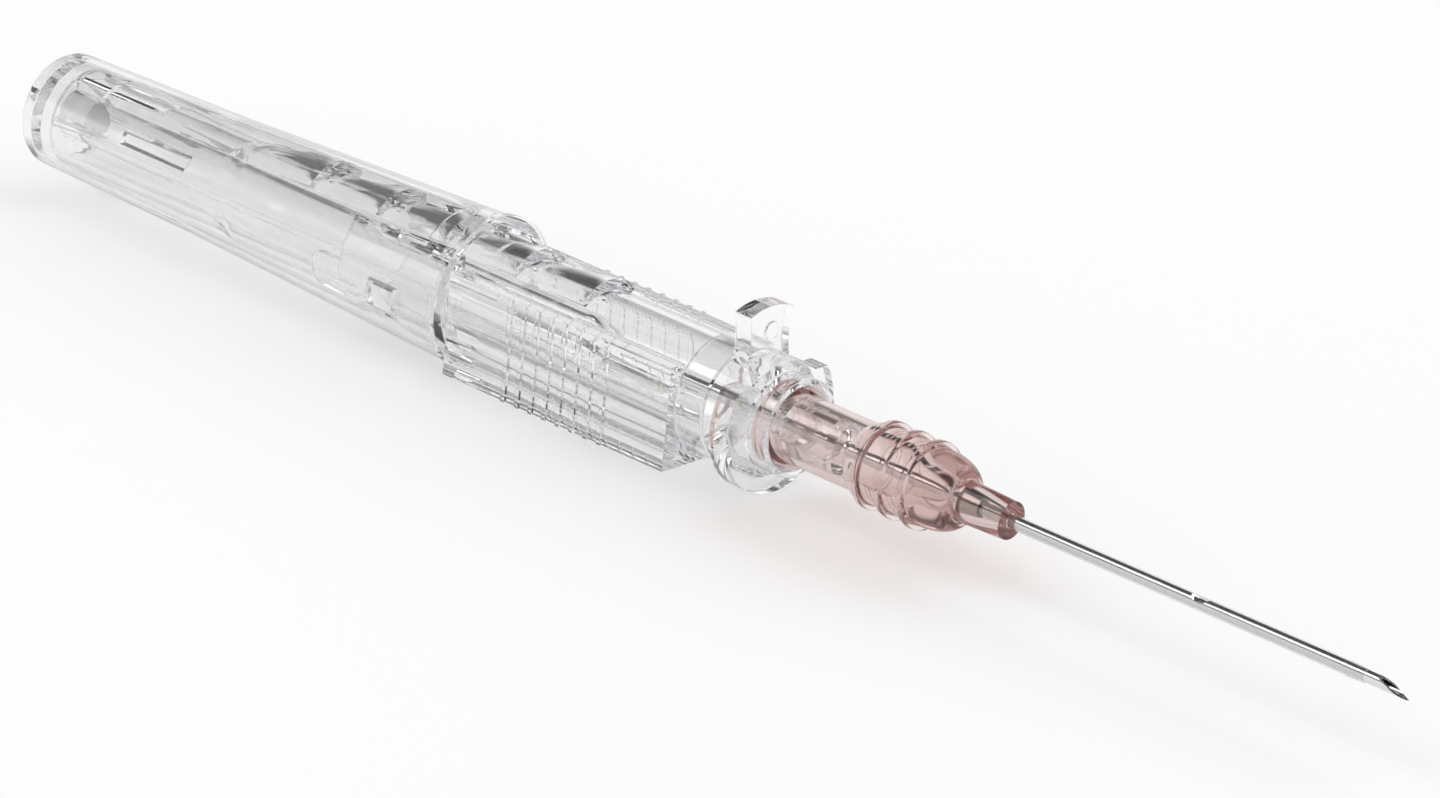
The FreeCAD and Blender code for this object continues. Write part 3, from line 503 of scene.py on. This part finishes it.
class StageSettings(bpy.types.PropertyGroup):
    azimuth: bpy.props.FloatProperty(
        name="Azimuth", description="Turn of the camera round the object", subtype="ANGLE",
        default=math.radians(41.317),
    )
    elevation: bpy.props.FloatProperty(
        name="Elevation", description="Height of the camera as an angle", subtype="ANGLE",
        default=math.radians(21.970),
    )
    roll: bpy.props.FloatProperty(
        name="Roll", description="Tilt of the picture", subtype="ANGLE",
        default=math.radians(5.381),
    )
    distance: bpy.props.FloatProperty(
        name="Distance", description="Camera to the point it looks at", unit="LENGTH",
        default=539.0 * MM,
    )
    lens: bpy.props.FloatProperty(
        name="Lens", description="Focal length on a 36 mm sensor, in millimetres", default=186.33,
    )
    aim: bpy.props.FloatVectorProperty(
        name="Aim", description="Point in the middle of the picture", subtype="XYZ", unit="LENGTH",
        size=3, default=(3.5045 * MM, 0.0, 5.764 * MM),
    )
    floor_size: bpy.props.FloatProperty(
        name="Floor size", description="Side of the square floor", unit="LENGTH", default=4.0,
    )
    floor_colour: bpy.props.FloatVectorProperty(
        name="Floor colour", description="White paper", subtype="COLOR", size=4, min=0.0, max=1.0,
        default=linear("FFFFFF"),
    )
    fade_start: bpy.props.FloatProperty(
        name="Fade start", description="Where the floor begins to fade to plain white",
        default=0.12, unit="LENGTH",
    )
    fade_end: bpy.props.FloatProperty(
        name="Fade end", description="Where the floor has faded to plain white", default=0.3,
        unit="LENGTH",
    )
    sky_level: bpy.props.FloatProperty(
        name="Sky level", description="Brightness of the room overhead", default=0.6, min=0.0,
        max=1.0,
    )
    ceiling_level: bpy.props.FloatProperty(
        name="Ceiling level", description="Brightness of the ceiling in reflections and bent light",
        default=0.08, min=0.0, max=1.0,
    )
    crossings: bpy.props.IntProperty(
        name="Crossings", description="Faces that a ray may cross", default=32, min=4,
    )
    lamp_power: bpy.props.FloatProperty(
        name="Lamp power", description="Power of the large soft lamp", default=1.3, min=0.0,
        unit="POWER",
    )


class CANNULA_OT_clear_plastic(bpy.types.Operator):
    """Soften the edges of the clear mouldings and finish them."""
    bl_idname = "cannula.clear_plastic"
    bl_label = "Clear Plastic"

    def execute(self, context):
        sizes = context.scene.cannula_clear
        # Polycarbonate moulded in polished tools: clear and glossy, slightly grey where it is thick
        material = clear_plastic(
            "clear_polycarbonate", tuple(sizes.tint), tuple(sizes.edge), sizes.ior, sizes.roughness,
            tuple(sizes.lamp_share), sizes.waviness, (tuple(sizes.depth_colour), sizes.density),
        )
        for name, node, body, slot in CLEAR_MOULDINGS:
            piece = moulded_copy(name, node, sizes.edge_radius)
            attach(piece, body)
            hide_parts(node)
            piece.data.materials.append(material)
        return {"FINISHED"}


class CANNULA_OT_hub(bpy.types.Operator):
    """Mould the pink hub with a round dome and softened edges, and finish it."""
    bl_idname = "cannula.hub"
    bl_label = "Pink Hub"

    def execute(self, context):
        sizes = context.scene.cannula_hub
        hub = turned_piece("hub_moulding", hub_outline(sizes), sizes.edge_radius)
        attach(hub, "catheter")
        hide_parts("catheter_hub")
        # Translucent moulded polypropylene: the pink deepens with the thickness that light crosses
        # Its edge colour is painted shade along the hub's outline
        material = clear_plastic(
            "pink_polypropylene", tuple(sizes.tint), tuple(sizes.edge), sizes.ior, sizes.roughness,
            tuple(sizes.lamp_share), sizes.waviness, (tuple(sizes.colour), sizes.density),
        )
        hub.data.materials.append(material)
        return {"FINISHED"}


class CANNULA_OT_adhesive(bpy.types.Operator):
    """Set the bead of adhesive that holds the needle in its neck."""
    bl_idname = "cannula.adhesive"
    bl_label = "Adhesive"

    def execute(self, context):
        sizes = context.scene.cannula_steel
        inner = sizes.needle_radius + BEAD_GAP
        outline = [(NECK_END + along, inner + height) for along, height in BEAD_OUTLINE]
        bead = turned_piece("adhesive_bead", outline, BEAD_EDGE, steps=64)
        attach(bead, "holder")
        # Light-cured acrylate: clear, slightly yellow, with a wet gloss
        # Its edge colour is painted shade along the bead's outline
        material = clear_plastic(
            "cured_acrylate", tint=linear("FBF8EC"), edge=linear("C9C3AC"), ior=1.5, roughness=0.02,
            lamp_share=linear("FAFAF4"), waviness=0.8 * MM,
        )
        bead.data.materials.append(material)
        return {"FINISHED"}


class CANNULA_OT_steel(bpy.types.Operator):
    """Grind the needle's point and finish the needle and the wedging sleeve."""
    bl_idname = "cannula.steel"
    bl_label = "Steel"

    def execute(self, context):
        sizes = context.scene.cannula_steel
        needle = finished("ground_needle", self.ground(sizes))
        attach(needle, "holder")
        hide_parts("needle")
        # Drawn stainless steel: bright, with faint lines along the draw
        material, output = new_material("drawn_stainless_steel")
        place = add_node(material, "ShaderNodeTexCoord")
        stretch = add_node(
            material, "ShaderNodeMapping", Vector=place.outputs["Object"],
            Scale=(DRAW_LINE_STRETCH, 1.0, 1.0),
        )
        lines = add_node(
            material, "ShaderNodeTexNoise", Vector=stretch.outputs[0], Scale=1 / DRAW_LINE_PITCH,
            Detail=3.0,
        )
        gloss = add_node(
            material, "ShaderNodeMapRange", Value=lines.outputs["Fac"], From_Min=0.3, From_Max=0.7,
            To_Min=sizes.roughness * 0.7, To_Max=sizes.roughness * 1.4,
        )
        bump = add_node(
            material, "ShaderNodeBump", Height=lines.outputs["Fac"], Strength=0.25,
            Distance=DRAW_LINE_DEPTH,
        )
        body = add_node(
            material, "ShaderNodeBsdfPrincipled", Base_Color=tuple(sizes.colour), Metallic=1.0,
            Roughness=gloss.outputs[0], Normal=bump.outputs[0],
        )
        join(material, body, output)
        needle.data.materials.append(material)
        # Stamped stainless steel: duller than the drawn needle
        sleeve, output = new_material("stamped_stainless_steel")
        body = add_node(
            sleeve, "ShaderNodeBsdfPrincipled", Base_Color=linear("A8A19C"), Metallic=1.0,
            Roughness=0.22,
        )
        join(sleeve, body, output)
        give_material("hub_ferrule", sleeve)
        return {"FINISHED"}

    def ground(self, sizes):
        """The needle with a lancet facet ground on each side of its point."""
        shape = merged_copy("needle")
        tip = Vector((needle_high.x, 0, AXIS_HEIGHT - sizes.needle_radius))
        for side in (-1, 1):
            facet = Vector((math.sin(sizes.lancet_angle), 0, math.cos(sizes.lancet_angle)))
            facet.rotate(Matrix.Rotation(side * sizes.lancet_turn, 3, "X"))
            cut = bmesh.ops.bisect_plane(
                shape, geom=shape.verts[:] + shape.edges[:] + shape.faces[:], dist=CUT_TOLERANCE,
                plane_co=tip, plane_no=facet, clear_outer=True,
            )
            border = [
                edge for edge in cut["geom_cut"]
                if isinstance(edge, bmesh.types.BMEdge) and edge.is_boundary
            ]
            bmesh.ops.triangle_fill(
                shape, edges=border, use_beauty=True, use_dissolve=True, normal=facet,
            )
        bmesh.ops.recalc_face_normals(shape, faces=shape.faces)
        softened(shape, sizes.burr)
        return shape


class CANNULA_OT_film(bpy.types.Operator):
    """Finish the catheter tube."""
    bl_idname = "cannula.film"
    bl_label = "Catheter"

    def execute(self, context):
        sizes = context.scene.cannula_film
        # Extruded fluoropolymer: a thin clear skin that takes the colour of the steel inside
        # Its edge colour is painted shade along the tube's sides
        material = clear_plastic(
            "clear_fluoropolymer", tuple(sizes.tint), edge=linear("B0B0B0"), ior=sizes.ior,
            roughness=0.06, lamp_share=linear("FAFAFA"), waviness=1.5 * MM,
        )
        give_material("catheter_tube", material)
        return {"FINISHED"}


class CANNULA_OT_vent(bpy.types.Operator):
    """Finish the vent plug."""
    bl_idname = "cannula.vent"
    bl_label = "Vent Plug"

    def execute(self, context):
        # Sintered polyethylene beads: white, dull, open-pored, and lets some light through
        material, output = new_material("sintered_polyethylene")
        place = add_node(material, "ShaderNodeTexCoord")
        beads = add_node(
            material, "ShaderNodeTexVoronoi", Vector=place.outputs["Object"],
            Scale=1 / SINTERED_BEAD,
        )
        bump = add_node(
            material, "ShaderNodeBump", {"invert": True}, Height=beads.outputs["Distance"],
            Strength=0.6, Distance=PORE_DEPTH,
        )
        body = add_node(
            material, "ShaderNodeBsdfPrincipled", Base_Color=linear("FCFCFA"), Roughness=0.6,
            IOR=1.15, Transmission_Weight=0.7, Normal=bump.outputs[0],
        )
        join(material, body, output)
        give_material("vent_plug", material)
        return {"FINISHED"}


class CANNULA_OT_stage(bpy.types.Operator):
    """Build the floor, the lamps, the room's light and the camera."""
    bl_idname = "cannula.stage"
    bl_label = "Stage"

    def execute(self, context):
        sizes = context.scene.cannula_stage
        self.floor(sizes)
        self.room(sizes)
        self.lamps(sizes)
        self.camera(sizes)
        context.scene.view_settings.view_transform = "Standard"
        # Light meets up to twelve faces of the clear walls, and turns many times inside them
        context.scene.cycles.max_bounces = sizes.crossings
        context.scene.cycles.transmission_bounces = sizes.crossings
        context.scene.cycles.glossy_bounces = sizes.crossings
        context.scene.cycles.transparent_max_bounces = sizes.crossings
        return {"FINISHED"}

    def floor(self, sizes):
        mesh = bpy.data.meshes.new("floor")
        shape = bmesh.new()
        bmesh.ops.create_grid(shape, x_segments=1, y_segments=1, size=sizes.floor_size / 2)
        shape.to_mesh(mesh)
        shape.free()
        # White paper: matt and even, and lit to plain white away from the object
        material, output = new_material("white_paper")
        paper = add_node(
            material, "ShaderNodeBsdfPrincipled", Base_Color=tuple(sizes.floor_colour),
            Roughness=0.9, Specular_IOR_Level=0.0,
        )
        place = add_node(material, "ShaderNodeTexCoord")
        away = add_node(
            material, "ShaderNodeVectorMath", {"operation": "LENGTH"}, _0=place.outputs["Object"],
        )
        far = add_node(
            material, "ShaderNodeMapRange", {"interpolation_type": "SMOOTHSTEP"},
            Value=away.outputs["Value"], From_Min=sizes.fade_start, From_Max=sizes.fade_end,
        )
        path = add_node(material, "ShaderNodeLightPath")
        seen = add_node(
            material, "ShaderNodeMath", {"operation": "SUBTRACT"}, _0=far.outputs[0],
            _1=path.outputs["Is Diffuse Ray"],
        )
        seen.use_clamp = True
        white = add_node(material, "ShaderNodeEmission", Color=(1, 1, 1, 1), Strength=1.0)
        mix = add_node(
            material, "ShaderNodeMixShader", _0=seen.outputs[0], _1=paper.outputs[0],
            _2=white.outputs[0],
        )
        join(material, mix, output)
        mesh.materials.append(material)
        floor = bpy.data.objects.new("floor", mesh)
        bpy.context.scene.collection.objects.link(floor)

    def room(self, sizes):
        world = bpy.data.worlds.new("room")
        world.use_nodes = True
        world.node_tree.nodes.clear()
        output = add_node(world, "ShaderNodeOutputWorld")
        place = add_node(world, "ShaderNodeTexCoord")
        axes = add_node(world, "ShaderNodeSeparateXYZ", Vector=place.outputs["Generated"])
        path = add_node(world, "ShaderNodeLightPath")
        bent = add_node(
            world, "ShaderNodeMath", {"operation": "MAXIMUM"}, _0=path.outputs["Is Glossy Ray"],
            _1=path.outputs["Is Transmission Ray"],
        )
        overhead = add_node(
            world, "ShaderNodeMapRange", Value=bent.outputs[0],
            To_Min=sizes.sky_level, To_Max=sizes.ceiling_level,
        )
        height = add_node(
            world, "ShaderNodeMath", {"operation": "MULTIPLY_ADD"}, _0=bent.outputs[0],
            _1=BENT_LIGHT_RISE, _2=axes.outputs["Z"],
        )
        level = add_node(
            world, "ShaderNodeMapRange", {"interpolation_type": "SMOOTHSTEP"},
            Value=height.outputs[0], From_Min=WHITE_END, From_Max=OVERHEAD_START, To_Min=1.0,
            To_Max=overhead.outputs[0],
        )
        seen = add_node(
            world, "ShaderNodeMath", {"operation": "MAXIMUM"}, _0=level.outputs[0],
            _1=path.outputs["Is Camera Ray"],
        )
        light = add_node(
            world, "ShaderNodeBackground", Color=(1, 1, 1, 1), Strength=seen.outputs[0],
        )
        join(world, light, output)
        bpy.context.scene.world = world

    def lamps(self, sizes):
        for name, place, side, share in LAMPS:
            lamp = bpy.data.lights.new(name, "AREA")
            lamp.size = side
            lamp.energy = sizes.lamp_power * share
            holder = bpy.data.objects.new(name, lamp)
            bpy.context.scene.collection.objects.link(holder)
            away = Vector(place)
            holder.matrix_world = (
                Matrix.Translation(away) @ away.to_track_quat("Z", "Y").to_matrix().to_4x4()
            )

    def camera(self, sizes):
        lens = bpy.data.cameras.new("camera")
        lens.lens = sizes.lens
        lens.sensor_width = SENSOR_WIDTH
        lens.clip_end = VIEW_END
        holder = bpy.data.objects.new("camera", lens)
        bpy.context.scene.collection.objects.link(holder)
        back = Vector((
            math.sin(sizes.azimuth) * math.cos(sizes.elevation),
            -math.cos(sizes.azimuth) * math.cos(sizes.elevation),
            math.sin(sizes.elevation),
        ))
        level_right = Vector((math.cos(sizes.azimuth), math.sin(sizes.azimuth), 0))
        level_up = back.cross(level_right)
        right = level_right * math.cos(sizes.roll) + level_up * math.sin(sizes.roll)
        up = back.cross(right)
        turned = Matrix((right, up, back)).transposed().to_4x4()
        holder.matrix_world = Matrix.Translation(Vector(sizes.aim) + back * sizes.distance) @ turned
        bpy.context.scene.camera = holder


class CANNULA_PT_panel(bpy.types.Panel):
    """Lists the steps that finish the cannula."""
    bl_idname = "CANNULA_PT_panel"
    bl_label = "IV Cannula"
    bl_space_type = "VIEW_3D"
    bl_region_type = "UI"
    bl_category = "Cannula"

    def draw(self, context):
        for operator in OPERATORS:
            self.layout.operator(operator.bl_idname)
        for name in SETTINGS:
            box = self.layout.box()
            settings = getattr(context.scene, name)
            for field in SETTINGS[name].__annotations__:
                box.prop(settings, field)


SETTINGS = {
    "cannula_clear": ClearPlasticSettings,
    "cannula_hub": HubSettings,
    "cannula_steel": SteelSettings,
    "cannula_film": FilmSettings,
    "cannula_stage": StageSettings,
}
OPERATORS = (
    CANNULA_OT_clear_plastic,
    CANNULA_OT_hub,
    CANNULA_OT_adhesive,
    CANNULA_OT_steel,
    CANNULA_OT_film,
    CANNULA_OT_vent,
    CANNULA_OT_stage,
)


def register():
    for settings in SETTINGS.values():
        bpy.utils.register_class(settings)
    for name, settings in SETTINGS.items():
        setattr(bpy.types.Scene, name, bpy.props.PointerProperty(type=settings))
    for operator in OPERATORS:
        bpy.utils.register_class(operator)
    bpy.utils.register_class(CANNULA_PT_panel)


def unregister():
    bpy.utils.unregister_class(CANNULA_PT_panel)
    for operator in reversed(OPERATORS):
        bpy.utils.unregister_class(operator)
    for name in SETTINGS:
        delattr(bpy.types.Scene, name)
    for settings in SETTINGS.values():
        bpy.utils.unregister_class(settings)


def main():
    register()
    bpy.ops.cannula.clear_plastic()
    bpy.ops.cannula.hub()
    bpy.ops.cannula.adhesive()
    bpy.ops.cannula.steel()
    bpy.ops.cannula.film()
    bpy.ops.cannula.vent()
    bpy.ops.cannula.stage()


if __name__ == "__main__":
    main()
